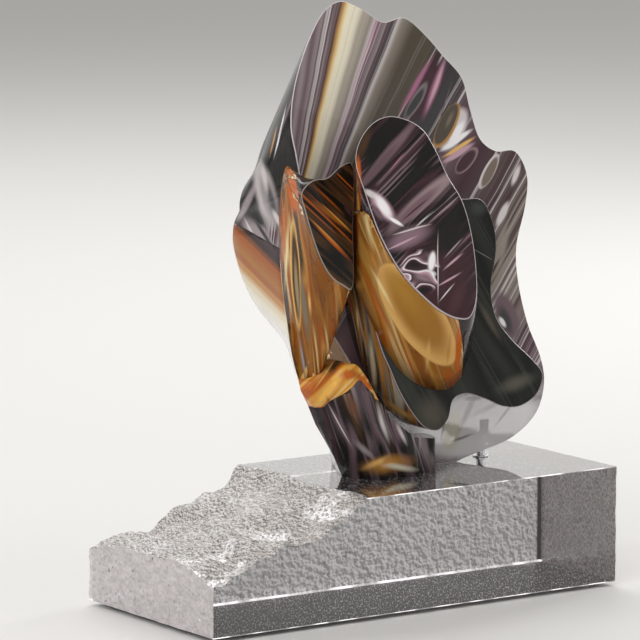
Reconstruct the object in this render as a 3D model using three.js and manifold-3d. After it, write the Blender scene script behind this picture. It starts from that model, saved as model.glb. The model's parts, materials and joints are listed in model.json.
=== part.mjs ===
// Abstract sculpture of laminated optical glass on a cast clear glass base.
// Millimetres, +Z up, +X to the right and +Y away from the viewer.
// The origin is the middle of the base, at the underside of its bumper feet.
// The glass above the base is built with its foot at height 0 and lifted onto the base at the end.
// The rear shell has its flat polished face at Y = 0, and the petals step forward from it.
import * as THREE from "three";
import { mergeVertices } from "three/addons/utils/BufferGeometryUtils.js";
import Module from "manifold-3d";

const wasm = await Module();
wasm.setup();

// Base block and its bumper feet
const BASE_LENGTH = 306;
const BASE_DEPTH = 141;
const BASE_HEIGHT = 74;
const BASE_CORNER = 2;
const BUMPER_DIAMETER = 12.7;
const BUMPER_HEIGHT = 3;
const BUMPER_INSET_X = 14;
const BUMPER_INSET_Y = 12.5;
const BASE_TOP = BUMPER_HEIGHT + BASE_HEIGHT;

// Broken ramp at the left end of the base
const POLISHED_EDGE_X = -39;
const POLISHED_EDGE_WANDER = 4;
const RAMP_COLUMNS = 24;
const RAMP_ROWS = 12;
const RAMP_CROWN = 8;
const RAMP_GRAIN = 1.4;

// Layers of glass, measured forward and backward from the shell's polished face
const GLUE_LINE = 0.2;
const FOOT_GLUE_LINE = 0.3;
const PETAL_CLEARANCE = 0.4;
const AMBER_FEATHER = 0.6;
const SHELL_DEPTH = 50;
const SHELL_CROWN = 13;
const FLUTE_COUNT = 23;
const FLUTE_CROWDING = 1.6;
const FLUTE_RISE = 1.1;
const MIDDLE_FRONT = 28;
const LEFT_FRONT = 38;
const CENTRE_FRONT = 65;

// Foot of the sculpture, where it stands on the base
const FOOT_DEPTH = 25;
const FOOT_LOBES = 4;
const FOOT_LOBE_RISE = 3.4;
const FOOT_SQUARENESS = 0.55;
const SHELL_FOOT_SHARE = 0.6;
const SHELL_FULL_HEIGHT = 125;

// Pins that locate the sculpture on the base
const PIN_CLEARANCE = 0.3;
const PIN_IN_BASE = 10;
const FOOT_PIN_DIAMETER = 8;
const FOOT_PIN_X = 22;
const FOOT_PIN_Y = 15;
const FOOT_PIN_IN_GLASS = 12;
const PROP_PIN_DIAMETER = 6;
const PROP_PIN_X = 104;
const PROP_PIN_Y = 8;
const PROP_PIN_TOP = 24;
const PROP_SEAT_DIAMETER = 10.7;
const PROP_SEAT_HEIGHT = 1.2;

// How finely curves are cut into facets
const PETAL_STEPS = 5;
const SHELL_STEPS = 5;
const ROUND_STEPS = 24;
const FAR = 700;

// Rear shell: crests and valleys of its rim as [x, height], clockwise from the foot
const SHELL_RIM = [
  [-2, -11], [-14, 11], [-34, 45], [-46, 73], [-53, 113], [-56, 153], [-51, 177], [-42, 187],
  [-44, 203], [-48, 222], [-45, 248], [-33, 278], [-22, 293], [-11, 297.5], [5, 292], [21, 283],
  [37, 285], [54, 273], [67, 260], [82, 245], [89, 224], [97, 205], [109, 197], [124, 196],
  [134, 180], [133, 161], [126, 135], [127, 115], [135, 85], [146, 61], [149, 45], [143, 26],
  [125, 12], [100, 5], [80, 0], [60, -11],
];

// The same crests and valleys where the shell's wall turns over to its back
const SHELL_SHOULDER = [
  [8, -11], [4, 15], [-6, 45], [-17, 74], [-45, 111], [-57, 145], [-58, 156], [-53, 163],
  [-53, 171], [-45, 185], [-35, 205], [-20, 228], [-9, 241], [3, 249], [13, 243], [24, 229],
  [37, 236], [49, 224], [54, 210], [67, 205], [72, 184], [74, 168], [85, 164], [96, 160],
  [103, 149], [101, 133], [92, 116], [95, 100], [97, 79], [107, 61], [108, 49], [101, 37],
  [89, 25], [76, 17], [60, 7], [44, -11],
];
const SHELL_FLUTE_FOCUS = [8, 60];

// Left petal, on its polished face and where it is bonded to the shell
const LEFT_FACE = [
  [-35, 127], [-43, 132], [-51, 143], [-58, 159], [-63, 174], [-66, 186], [-58, 193], [-47, 194],
  [-38, 200], [-29, 202], [-28, 163], [-29, 124],
];
const LEFT_BACK = [
  [-35, 50], [-51, 101], [-55, 128], [-57, 155], [-56, 180], [-51, 198], [-43, 192], [-33, 187],
  [-25, 186], [-16, 183], [-16, 138], [-21, 88],
];

// Middle petal, with its tongue at the lower left and its lobe at the right
const MIDDLE_FACE = [
  [1, 82], [-6, 103], [-10, 128], [-4, 155], [16, 173], [40, 177], [62, 172.5], [77, 171],
  [86, 157], [89, 139], [85, 115], [89, 96], [102, 80], [118, 66], [126, 56], [122, 44],
  [109, 37], [95, 38], [80, 44.5], [65, 49], [56, 46], [52, 34], [45, 28], [35, 30],
  [24, 41], [14, 56], [7, 70],
];
const MIDDLE_BACK = [
  [-4, 92], [-8, 110], [-11, 131], [-6, 155], [16, 169], [40, 173], [60, 168], [73, 165],
  [82, 153], [86, 139], [83, 117], [86, 101], [99, 84], [114, 70], [122, 59], [119, 48],
  [108, 41], [95, 42], [80, 48], [66, 51.5], [58, 46], [54, 33], [46, 27.5], [32, 31],
  [18, 45], [8, 62], [1, 78],
];

// Centre petal, which stands on the middle petal's face
const CENTRE_FACE = [
  [-16, 143], [-28, 163], [-38, 187], [-45, 206], [-43, 217], [-34, 228], [-22, 232.5], [-8, 230],
  [5, 223], [14, 211], [24, 193], [35, 177], [42, 157], [46, 133], [46, 114], [41, 104],
  [31, 104.5], [19, 110], [7, 119], [-6, 131],
];
const CENTRE_BACK = [
  [-20, 128], [-21, 148], [-21, 173], [-20, 195], [-18, 207], [-12, 217], [-2, 221], [10, 219],
  [20, 213], [30, 200], [42, 183], [54, 167], [64, 145], [69, 119], [70, 93], [66, 67],
  [54, 54], [36, 55], [14, 69], [-8, 102],
];

// Outline of the foot as [height, left x, right x]
const FOOT_SIDES = [
  [0, -10, 53], [13, -16, 53], [35, -30, 53], [48, -36, 52], [57, -41, 50], [80, -47, 46],
];

// Tops of the foot's amber cap and of the dark glass under it, as [x, height]
const FOOT_CAP_TOP = [
  [-70, 53], [-48, 61], [-32, 70], [-18, 75], [-7, 66], [3, 49], [14, 35], [26, 26], [42, 22],
  [70, 21],
];
const FOOT_CORE_TOP = [
  [-70, 28], [-45, 39], [-32, 50], [-20, 61], [-12, 64], [-2, 55], [8, 49], [70, 47],
];

// Each petal's dark core is its polished face swept back by a lean of [x, z], and amber glass
// wraps the core on the side of a plane that the normal points to
const LEFT_WRAP = { lean: [14, 6], at: [-31, 0, 130], normal: [-1, 0, -0.15] };
const MIDDLE_WRAP = { lean: [12, 4], at: [56, 0, 44], normal: [-0.83, 0, -0.56] };
const CENTRE_WRAP = { lean: [24, -10], at: [61, 0, 62], normal: [-0.83, 0, -0.56] };

// Plane that parts the shell from the amber glass of its lower left flank
const FLANK_PLANE = { at: [-54, 0, 144], normal: [-0.81, 0.11, -0.56] };

// Ramp as [share of the way from the left end to the polished top, drop below the top].
// It ends just above the top, so that it meets the polished face in a clean broken edge.
const RAMP_FRONT = [
  [-0.1, 40], [0.12, 40], [0.21, 35], [0.33, 28], [0.41, 23], [0.6, 24], [0.69, 20],
  [0.81, 12], [0.9, 5], [1, -1],
];
const RAMP_BACK = [
  [-0.1, 46], [0.04, 40], [0.2, 33], [0.31, 37], [0.45, 35], [0.49, 30], [0.62, 22],
  [0.77, 14], [0.92, 13], [0.97, 7], [1, -1],
];

function toSolid(geometry) {
  const plain = geometry.clone();
  plain.deleteAttribute("normal");
  plain.deleteAttribute("uv");
  const merged = mergeVertices(plain, 1e-5);
  return new wasm.Manifold(new wasm.Mesh({
    numProp: 3,
    vertProperties: Float32Array.from(merged.attributes.position.array),
    triVerts: Uint32Array.from(merged.index.array),
  }));
}

function toGeometry(solid) {
  const mesh = solid.getMesh();
  const geometry = new THREE.BufferGeometry();
  geometry.setAttribute("position", new THREE.BufferAttribute(mesh.vertProperties, 3));
  geometry.setIndex(new THREE.BufferAttribute(mesh.triVerts, 1));
  return geometry;
}

// Value at x of a line through [x, value] points, with straight stretches between them
function along(points, x) {
  const next = points.findIndex((point) => point[0] >= x);
  if (next < 0) return points.at(-1)[1];
  if (next === 0) return points[0][1];
  const [x0, value0] = points[next - 1];
  const [x1, value1] = points[next];
  return THREE.MathUtils.mapLinear(x, x0, x1, value0, value1);
}

// Smooth closed ring through [x, z] points, moved outward by a clearance
function smoothRing(points, steps, clearance = 0) {
  const knots = points.map(([x, z]) => new THREE.Vector3(x, 0, z));
  const curve = new THREE.CatmullRomCurve3(knots, true, "centripetal");
  const count = points.length * steps;
  return Array.from({ length: count }, (_, i) => {
    const point = curve.getPoint(i / count);
    const tangent = curve.getTangent(i / count);
    return [point.x - tangent.z * clearance, point.z + tangent.x * clearance];
  });
}

function blendRings(first, second, share) {
  return first.map(([x, z], i) => [
    THREE.MathUtils.lerp(x, second[i][0], share),
    THREE.MathUtils.lerp(z, second[i][1], share),
  ]);
}

// Closed skin over rings of [x, y, z] points, with a flat cap on the first ring and the last
function loft(rings, toPlane) {
  const count = rings[0].length;
  const last = (rings.length - 1) * count;
  const faces = [];
  for (let start = 0; start < last; start += count) {
    for (let i = 0; i < count; i += 1) {
      const here = start + i;
      const next = start + ((i + 1) % count);
      faces.push(here, next, here + count, next, next + count, here + count);
    }
  }
  const outline = (ring) => ring.map((point) => new THREE.Vector2(...toPlane(point)));
  const forward = THREE.ShapeUtils.area(outline(rings[0])) > 0;
  const cap = (ring, base, flip) => {
    for (const [a, b, c] of THREE.ShapeUtils.triangulateShape(outline(ring), [])) {
      faces.push(...(flip ? [base + a, base + c, base + b] : [base + a, base + b, base + c]));
    }
  };
  cap(rings[0], 0, forward);
  cap(rings.at(-1), last, !forward);
  const geometry = new THREE.BufferGeometry();
  geometry.setAttribute("position", new THREE.Float32BufferAttribute(rings.flat(2), 3));
  geometry.setIndex(faces);
  return toSolid(geometry);
}

const onFrontPlane = ([x, , z]) => [x, z];
const onGroundPlane = ([x, y]) => [x, y];

// All of space on the side of a plane that its normal points to
function halfSpace(at, normal, shift = 0) {
  const direction = new THREE.Vector3(...normal).normalize();
  const up = new THREE.Vector3(0, 0, 1);
  const centre = new THREE.Vector3(...at).addScaledVector(direction, FAR / 2 + shift);
  const box = new THREE.BoxGeometry(FAR, FAR, FAR);
  box.applyQuaternion(new THREE.Quaternion().setFromUnitVectors(up, direction));
  box.translate(centre.x, centre.y, centre.z);
  return toSolid(box);
}

function cylinder(diameter, x, y, bottom, top) {
  const radius = diameter / 2;
  const geometry = new THREE.CylinderGeometry(radius, radius, top - bottom, ROUND_STEPS);
  geometry.rotateX(Math.PI / 2);
  geometry.translate(x, y, (top + bottom) / 2);
  return toSolid(geometry);
}

// Everything in front of the shell's face that lies below a smooth line of [x, z] points
function belowLine(points, clearance) {
  const curve = new THREE.SplineCurve(points.map(([x, z]) => new THREE.Vector2(x, z - clearance)));
  const shape = new THREE.Shape(curve.getPoints(points.length * PETAL_STEPS));
  shape.lineTo(points.at(-1)[0], -FAR / 2);
  shape.lineTo(points[0][0], -FAR / 2);
  const plate = new THREE.ExtrudeGeometry(shape, { depth: FAR, bevelEnabled: false });
  plate.rotateX(Math.PI / 2);
  plate.translate(0, FAR / 2, 0);
  return toSolid(plate);
}

// Glass between a polished face and a larger or smaller outline behind it.
// A clearance moves its whole skin outward, for cutting room into a neighbour.
function petal(face, back, front, rear, clearance = 0) {
  const faceRing = smoothRing(face, PETAL_STEPS, clearance);
  const backRing = smoothRing(back, PETAL_STEPS, clearance);
  const stations = [0, 0.25, 0.5, 0.75, 1].map((share) => (
    { share, y: THREE.MathUtils.lerp(-front, -rear, share) }));
  if (clearance > 0) {
    stations.unshift({ share: 0, y: -front - clearance });
    stations.push({ share: 1, y: -rear + clearance });
  }
  const rings = stations.map(({ share, y }) => {
    const eased = share + 0.06 * Math.sin(Math.PI * share);
    return blendRings(faceRing, backRing, eased).map(([x, z]) => [x, y, z]);
  });
  return loft(rings, onFrontPlane);
}

const leftPetal = (clearance) => petal(
  LEFT_FACE, LEFT_BACK, LEFT_FRONT, GLUE_LINE, clearance);
const middlePetal = (clearance) => petal(
  MIDDLE_FACE, MIDDLE_BACK, MIDDLE_FRONT, GLUE_LINE, clearance);
const centrePetal = (clearance) => petal(
  CENTRE_FACE, CENTRE_BACK, CENTRE_FRONT, MIDDLE_FRONT + GLUE_LINE, clearance);

// Splits a petal into its core and its amber side, with the glue line between them
function wrapCore(solid, face, front, { lean, at, normal }) {
  const swept = (clearance) => {
    const ring = smoothRing(face, PETAL_STEPS, AMBER_FEATHER + clearance);
    return loft([
      ring.map(([x, z]) => [x, -front - AMBER_FEATHER, z]),
      ring.map(([x, z]) => [x + lean[0], AMBER_FEATHER, z + lean[1]]),
    ], onFrontPlane);
  };
  return {
    side: solid.intersect(halfSpace(at, normal, GLUE_LINE)).subtract(swept(GLUE_LINE)),
    core: solid.subtract(halfSpace(at, normal).subtract(swept(0))),
  };
}

// The shell gets thinner from front to back toward its foot
function thinToFoot([x, y, z]) {
  const rise = THREE.MathUtils.smoothstep(z, 0, SHELL_FULL_HEIGHT);
  return [x, y * THREE.MathUtils.lerp(SHELL_FOOT_SHARE, 1, rise), z];
}

// Fine flutes between the crests: the ring is pushed away from the focus and drawn toward it.
// They are closer together in some places than in others.
function fluteRing(ring) {
  const centre = new THREE.Vector2(...SHELL_FLUTE_FOCUS);
  return ring.map(([x, z], i) => {
    const turn = (2 * Math.PI * i) / ring.length;
    const wave = Math.sin(FLUTE_COUNT * turn + FLUTE_CROWDING * Math.sin(3 * turn));
    const outward = new THREE.Vector2(x, z).sub(centre).normalize();
    return [x + FLUTE_RISE * wave * outward.x, z + FLUTE_RISE * wave * outward.y];
  });
}

// Fluted shell: its flutes run back from the rim and close in on a focus above the foot
function shell() {
  const rim = smoothRing(SHELL_RIM, SHELL_STEPS);
  const shoulder = fluteRing(smoothRing(SHELL_SHOULDER, SHELL_STEPS));
  const focus = shoulder.map(() => SHELL_FLUTE_FOCUS);
  const wall = [0, 0.1, 0.25, 0.42, 0.6, 0.8].map((share) => {
    const ring = blendRings(rim, shoulder, share ** 1.15);
    return ring.map(([x, z]) => [x, share * SHELL_DEPTH, z]);
  });
  const crown = [0, 14, 28, 42, 56, 68, 77, 84].map((degrees) => {
    const angle = THREE.MathUtils.degToRad(degrees);
    const y = SHELL_DEPTH + SHELL_CROWN * Math.sin(angle);
    return blendRings(focus, shoulder, Math.cos(angle)).map(([x, z]) => [x, y, z]);
  });
  const rings = [...wall, ...crown].map((ring) => ring.map(thinToFoot));
  return loft(rings, onFrontPlane).intersect(halfSpace([0, 0, 0], [0, 0, 1]));
}

// Lobed front of the foot: level outlines stacked up from the base
function foot() {
  const steps = FOOT_LOBES * 10;
  const rings = FOOT_SIDES.map(([height, left, right]) => {
    const middle = (left + right) / 2;
    const half = (right - left) / 2;
    return Array.from({ length: steps + 1 }, (_, i) => {
      const angle = (Math.PI * i) / steps;
      const lobe = FOOT_LOBE_RISE * Math.sin(2 * FOOT_LOBES * angle);
      const depth = (FOOT_DEPTH + lobe) * Math.sin(angle) ** FOOT_SQUARENESS;
      return [middle - half * Math.cos(angle), -FOOT_GLUE_LINE - depth, height];
    });
  });
  return loft(rings, onGroundPlane)
    .subtract(leftPetal(PETAL_CLEARANCE))
    .subtract(middlePetal(PETAL_CLEARANCE));
}

function rampDrop(share, across) {
  const level = THREE.MathUtils.lerp(along(RAMP_FRONT, share), along(RAMP_BACK, share), across);
  const crown = RAMP_CROWN * Math.sin(Math.PI * across) * (1 - share);
  const grain = Math.sin(21 * share + 5 * across + 2 * Math.sin(7 * across))
    + Math.sin(14 * across - 11 * share + 3 * Math.sin(9 * share))
    + 0.7 * Math.sin(39 * share + 27 * across + 2 * Math.sin(17 * across));
  return level - crown + RAMP_GRAIN * grain * Math.min(1, 4 * (1 - share));
}

// Solid that breaks the ramp out of the block: its underside is the broken surface
function rampCutter() {
  const overhang = 5;
  const startX = -BASE_LENGTH / 2 - overhang;
  const depth = BASE_DEPTH + 2 * overhang;
  const rings = Array.from({ length: RAMP_ROWS + 1 }, (_, row) => {
    const across = row / RAMP_ROWS;
    const y = (across - 0.5) * depth;
    const edge = POLISHED_EDGE_X + POLISHED_EDGE_WANDER * Math.sin(11 * across);
    const broken = Array.from({ length: RAMP_COLUMNS + 1 }, (_unused, column) => {
      const share = 1 - column / RAMP_COLUMNS;
      const x = THREE.MathUtils.lerp(startX, edge, share);
      return [x, y, BASE_TOP - rampDrop(share, across)];
    });
    const lid = BASE_TOP + RAMP_CROWN;
    return [[startX, y, lid], [edge + 1, y, lid], ...broken];
  });
  return loft(rings, onFrontPlane);
}

function baseBlock() {
  const halfLength = BASE_LENGTH / 2;
  const halfDepth = BASE_DEPTH / 2;
  const outline = new THREE.Shape();
  outline.absarc(halfLength - BASE_CORNER, halfDepth - BASE_CORNER, BASE_CORNER, 0, Math.PI / 2);
  outline.absarc(BASE_CORNER - halfLength, halfDepth - BASE_CORNER, BASE_CORNER,
    Math.PI / 2, Math.PI);
  outline.absarc(BASE_CORNER - halfLength, BASE_CORNER - halfDepth, BASE_CORNER,
    Math.PI, 1.5 * Math.PI);
  outline.absarc(halfLength - BASE_CORNER, BASE_CORNER - halfDepth, BASE_CORNER,
    1.5 * Math.PI, 2 * Math.PI);
  const block = new THREE.ExtrudeGeometry(outline, {
    depth: BASE_HEIGHT, bevelEnabled: false, curveSegments: 4,
  });
  block.translate(0, 0, BUMPER_HEIGHT);
  const bore = (diameter, x, y) => cylinder(
    diameter + 2 * PIN_CLEARANCE, x, y, BASE_TOP - PIN_IN_BASE - PIN_CLEARANCE, BASE_TOP + 1);
  return toSolid(block)
    .subtract(rampCutter())
    .subtract(bore(FOOT_PIN_DIAMETER, FOOT_PIN_X, FOOT_PIN_Y))
    .subtract(bore(PROP_PIN_DIAMETER, PROP_PIN_X, PROP_PIN_Y));
}

const part = new THREE.Group();
part.name = "glass_sculpture";

function addNode(name, solid, colour, lift = 0) {
  const material = new THREE.MeshStandardMaterial({ color: colour, roughness: 0.05, metalness: 0 });
  const mesh = new THREE.Mesh(toGeometry(solid), material);
  mesh.name = name;
  mesh.position.z = lift;
  part.add(mesh);
}

// Base and bumper feet
addNode("base_block", baseBlock(), 0xcfcbd0);
for (const [side, signX] of [["left", -1], ["right", 1]]) {
  for (const [end, signY] of [["front", -1], ["back", 1]]) {
    const x = signX * (BASE_LENGTH / 2 - BUMPER_INSET_X);
    const y = signY * (BASE_DEPTH / 2 - BUMPER_INSET_Y);
    addNode(`bumper_${end}_${side}`, cylinder(BUMPER_DIAMETER, x, y, 0, BUMPER_HEIGHT), 0xe8e8e4);
  }
}

// Seat ring on the base, with the locating pins that stay in the glass when it is lifted
const pinHole = (diameter, x, y, top) => cylinder(
  diameter + 2 * PIN_CLEARANCE, x, y, -PIN_IN_BASE, top + PIN_CLEARANCE);
const propHole = pinHole(PROP_PIN_DIAMETER, PROP_PIN_X, PROP_PIN_Y, PROP_PIN_TOP);
const footHole = pinHole(FOOT_PIN_DIAMETER, FOOT_PIN_X, FOOT_PIN_Y, FOOT_PIN_IN_GLASS);
const propSeat = cylinder(PROP_SEAT_DIAMETER, PROP_PIN_X, PROP_PIN_Y, 0, PROP_SEAT_HEIGHT);
addNode("prop_seat", propSeat.subtract(propHole), 0x9a9aa0, BASE_TOP);
addNode("prop_pin", cylinder(
  PROP_PIN_DIAMETER, PROP_PIN_X, PROP_PIN_Y, -PIN_IN_BASE, PROP_PIN_TOP), 0xb9bbc0, BASE_TOP);
addNode("foot_pin", cylinder(
  FOOT_PIN_DIAMETER, FOOT_PIN_X, FOOT_PIN_Y, -PIN_IN_BASE, FOOT_PIN_IN_GLASS), 0xb9bbc0, BASE_TOP);

// Rear shell and its amber flank
const shellGlass = shell().subtract(propHole).subtract(footHole);
const flankSide = (shift) => halfSpace(FLANK_PLANE.at, FLANK_PLANE.normal, shift);
addNode("rear_shell", shellGlass.subtract(flankSide(0)), 0xd9d2dc, BASE_TOP);
addNode("rear_amber_flank", shellGlass.intersect(flankSide(GLUE_LINE)), 0xd98a3a, BASE_TOP);

// Foot with its amber cap
const footGlass = foot().intersect(belowLine(FOOT_CAP_TOP, 0));
addNode("foot_core", footGlass.intersect(belowLine(FOOT_CORE_TOP, GLUE_LINE)), 0x3a2436, BASE_TOP);
addNode("foot_amber_cap", footGlass.subtract(belowLine(FOOT_CORE_TOP, 0)), 0xd9661a, BASE_TOP);

// Petals, each with its core and its amber side
const leftGlass = leftPetal(0)
  .subtract(centrePetal(PETAL_CLEARANCE))
  .subtract(middlePetal(PETAL_CLEARANCE));
const left = wrapCore(leftGlass, LEFT_FACE, LEFT_FRONT, LEFT_WRAP);
addNode("left_core", left.core, 0x241a1c, BASE_TOP);
addNode("left_amber_side", left.side, 0xd0661e, BASE_TOP);

const middle = wrapCore(middlePetal(0), MIDDLE_FACE, MIDDLE_FRONT, MIDDLE_WRAP);
addNode("middle_core", middle.core, 0x3c3f3a, BASE_TOP);
addNode("middle_amber_side", middle.side, 0xb59a62, BASE_TOP);

const centre = wrapCore(centrePetal(0), CENTRE_FACE, CENTRE_FRONT, CENTRE_WRAP);
addNode("centre_core", centre.core, 0x3a2838, BASE_TOP);
addNode("centre_amber_side", centre.side, 0xe07f22, BASE_TOP);

export default part;
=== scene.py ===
"""Laminated glass sculpture on a cast glass base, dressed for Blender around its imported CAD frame."""
import json
import math

import bpy
from bpy.props import FloatProperty, FloatVectorProperty, PointerProperty
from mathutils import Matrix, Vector, noise
from mathutils.bvhtree import BVHTree


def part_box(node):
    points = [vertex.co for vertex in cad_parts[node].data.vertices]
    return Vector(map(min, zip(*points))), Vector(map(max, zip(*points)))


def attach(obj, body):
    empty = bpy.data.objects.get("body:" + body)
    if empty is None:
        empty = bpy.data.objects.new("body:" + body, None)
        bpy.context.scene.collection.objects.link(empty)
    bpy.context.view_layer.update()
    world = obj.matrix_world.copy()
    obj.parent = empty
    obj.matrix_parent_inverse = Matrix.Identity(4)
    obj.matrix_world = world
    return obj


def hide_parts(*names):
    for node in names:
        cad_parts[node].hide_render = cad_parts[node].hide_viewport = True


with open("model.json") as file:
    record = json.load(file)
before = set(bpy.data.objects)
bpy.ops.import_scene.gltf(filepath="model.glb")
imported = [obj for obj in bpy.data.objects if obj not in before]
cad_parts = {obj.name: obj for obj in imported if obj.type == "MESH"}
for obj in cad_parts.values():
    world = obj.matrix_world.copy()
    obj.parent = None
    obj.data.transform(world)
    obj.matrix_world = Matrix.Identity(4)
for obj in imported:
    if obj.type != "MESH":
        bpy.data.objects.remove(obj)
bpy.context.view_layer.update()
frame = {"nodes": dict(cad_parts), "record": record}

bl_info = {
    "name": "Laminated glass sculpture",
    "version": (1, 0, 0),
    "blender": (4, 5, 0),
    "location": "3D View > Sidebar > Sculpture",
    "description": "Glass pieces, pins, bumper feet and a plain studio for a laminated glass sculpture",
    "category": "Object",
}

MM = 0.001

# Pieces of glass, each with the name of its tint
SCULPTURE_GLASS = {
    "rear_shell": "clear",
    "rear_amber_flank": "amber",
    "foot_core": "amethyst",
    "foot_amber_cap": "amber",
    "left_core": "smoke",
    "left_amber_side": "amber",
    "middle_core": "smoke",
    "middle_amber_side": "honey",
    "centre_core": "amethyst",
    "centre_amber_side": "amber",
}
BUMPERS = ("bumper_front_left", "bumper_back_left", "bumper_front_right", "bumper_back_right")
PINS = ("prop_pin", "foot_pin")

# A face this near to another piece of glass is bonded to it
BOND_REACH = 0.7 * MM

# Lamps as [name, power setting, place, size], in metres, and where they all point
LAMPS = (
    ("key_lamp", "key", (-1.9, -1.3, 2.2), 2.2), ("fill_lamp", "fill", (2.1, -1.9, 1.5), 2.4),
    ("rim_lamp", "rim", (0.8, 1.7, 2.2), 2.0), ("left_strip", "strip", (-1.9, 0.9, 0.9), 0.5),
    ("right_strip", "strip", (1.9, 0.6, 0.8), 0.5),
)
LAMP_AIM = (0, 0, 0.17)

# The camera's two angles in degrees, where it points in mm, and its focal length in mm at 3 m
CAMERA_AZIMUTH = -34.56
CAMERA_ELEVATION = 8.55
CAMERA_AIM = (-26.3, 0, 177.1)
CAMERA_LENS = 272.1
LENS_DISTANCE = 3.0


def colour_property(name, description, default):
    return FloatVectorProperty(
        name=name, description=description, default=default, subtype="COLOR", size=3, min=0, max=1)


def density_property(name, default):
    return FloatProperty(name=name, description="Absorption per metre", default=default)


def share_property(name, description, default):
    return FloatProperty(
        name=name, description=description, default=default, min=0, max=1, subtype="FACTOR")


def length_property(name, description, default):
    return FloatProperty(name=name, description=description, default=default, unit="LENGTH", precision=4)


def power_property(name, description, default):
    return FloatProperty(name=name, description=description, default=default, unit="POWER")


class GlassSettings(bpy.types.PropertyGroup):
    """Tints of the laminated glass, and how much its films of colour hide."""

    clear_tint: colour_property("Clear", "Tint of the fluted shell", (0.8, 0.74, 0.8))
    amber_tint: colour_property("Amber", "Tint of the amber sides", (0.99, 0.66, 0.22))
    honey_tint: colour_property("Honey", "Tint of the middle petal's side", (0.9, 0.78, 0.55))
    smoke_tint: colour_property("Smoke", "Tint of the left and middle petals", (0.34, 0.32, 0.3))
    amethyst_tint: colour_property("Amethyst", "Tint of the centre petal and the foot", (0.4, 0.25, 0.37))
    clear_density: density_property("Clear density", 8)
    amber_density: density_property("Amber density", 26)
    honey_density: density_property("Honey density", 32)
    smoke_density: density_property("Smoke density", 16)
    amethyst_density: density_property("Amethyst density", 16)
    refraction: FloatProperty(name="Index", description="Index of refraction of the glass", default=1.52)
    chamfer: length_property("Chamfer", "Width ground off the rims of the polished faces", 0.5 * MM)
    film_opacity: share_property(
        "Interlayer", "How much the coloured interlayers hide what is behind them", 0.85)
    shell_film: share_property(
        "Shell walls", "How much the bands on the shell's walls hide what is behind them", 0.88)
    face_film: share_property(
        "Polished faces", "How much the streaks under the polished faces hide the rest", 0.96)
    mark_film: share_property("Highlights", "How much the highlights on the amber sides hide the glass", 0.9)


class BaseSettings(bpy.types.PropertyGroup):
    """Cast glass of the base."""

    tint: colour_property("Tint", "Tint of the base", (0.84, 0.82, 0.84))
    density: density_property("Density", 5)
    cell: length_property("Cell", "Width of a cell of the block's grid", 2 * MM)
    pit_depth: length_property("Pit depth", "How deep the cast faces are hollowed", 0.9 * MM)
    crag_depth: length_property("Crag depth", "How deep the broken ramp is hollowed", 4.5 * MM)
    left_end: length_property("Left end", "Where the block ends at the left, in X", -153 * MM)
    polished_edge: length_property("Polished edge", "Where the ramp can start, in X", -33 * MM)
    pin_bores: FloatVectorProperty(
        name="Pin bores", description="X, Y and diameter of the foot pin's bore, then of the prop pin's",
        default=(22 * MM, 15 * MM, 8.6 * MM, 104 * MM, 8 * MM, 6.6 * MM), size=6, precision=4)


class StudioSettings(bpy.types.PropertyGroup):
    """Floor, lamps and camera."""

    floor_colour: colour_property("Floor", "Colour of the floor", (0.8, 0.79, 0.77))
    key_power: power_property("Key", "Power of the key lamp", 34)
    fill_power: power_property("Fill", "Power of the fill lamp", 18)
    rim_power: power_property("Rim", "Power of the lamp behind", 30)
    strip_power: power_property("Strips", "Power of each side lamp", 8)
    world_level: FloatProperty(name="World", description="Brightness of the room", default=0.5)
    distance: FloatProperty(name="Distance", description="Camera to sculpture", default=3.0, unit="LENGTH")


def plug(tree, socket, value):
    """Links or sets one input socket."""
    if isinstance(value, Wire):
        tree.links.new(value.socket, socket)
    elif isinstance(value, bpy.types.NodeSocket):
        tree.links.new(value, socket)
    elif value is not None:
        socket.default_value = value


class Wire:
    """A node's output that ordinary arithmetic can be written with."""

    def __init__(self, tree, socket):
        self.tree = tree
        self.socket = socket

    def maths(self, operation, *values):
        node = self.tree.nodes.new("ShaderNodeMath")
        node.operation = operation
        for socket, value in zip(node.inputs, values):
            plug(self.tree, socket, value)
        return Wire(self.tree, node.outputs[0])

    def __add__(self, other):
        return self.maths("ADD", self, other)

    def __sub__(self, other):
        return self.maths("SUBTRACT", self, other)

    def __rsub__(self, other):
        return self.maths("SUBTRACT", other, self)

    def __mul__(self, other):
        return self.maths("MULTIPLY", self, other)

    def __pow__(self, other):
        return self.maths("POWER", self, other)

    def most(self, other):
        """The larger of this and the other."""
        return self.maths("MAXIMUM", self, other)

    def turn(self, other):
        """Angle whose opposite side is this and whose near side is the other, in radians."""
        return self.maths("ARCTAN2", self, other)

    __radd__ = __add__
    __rmul__ = __mul__

    def step(self, low, high):
        """0 below low, 1 above high, and smooth between them."""
        node = self.tree.nodes.new("ShaderNodeMapRange")
        node.interpolation_type = "SMOOTHSTEP"
        for socket, value in zip(node.inputs, (self, low, high, 0, 1)):
            plug(self.tree, socket, value)
        return Wire(self.tree, node.outputs[0])


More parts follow.
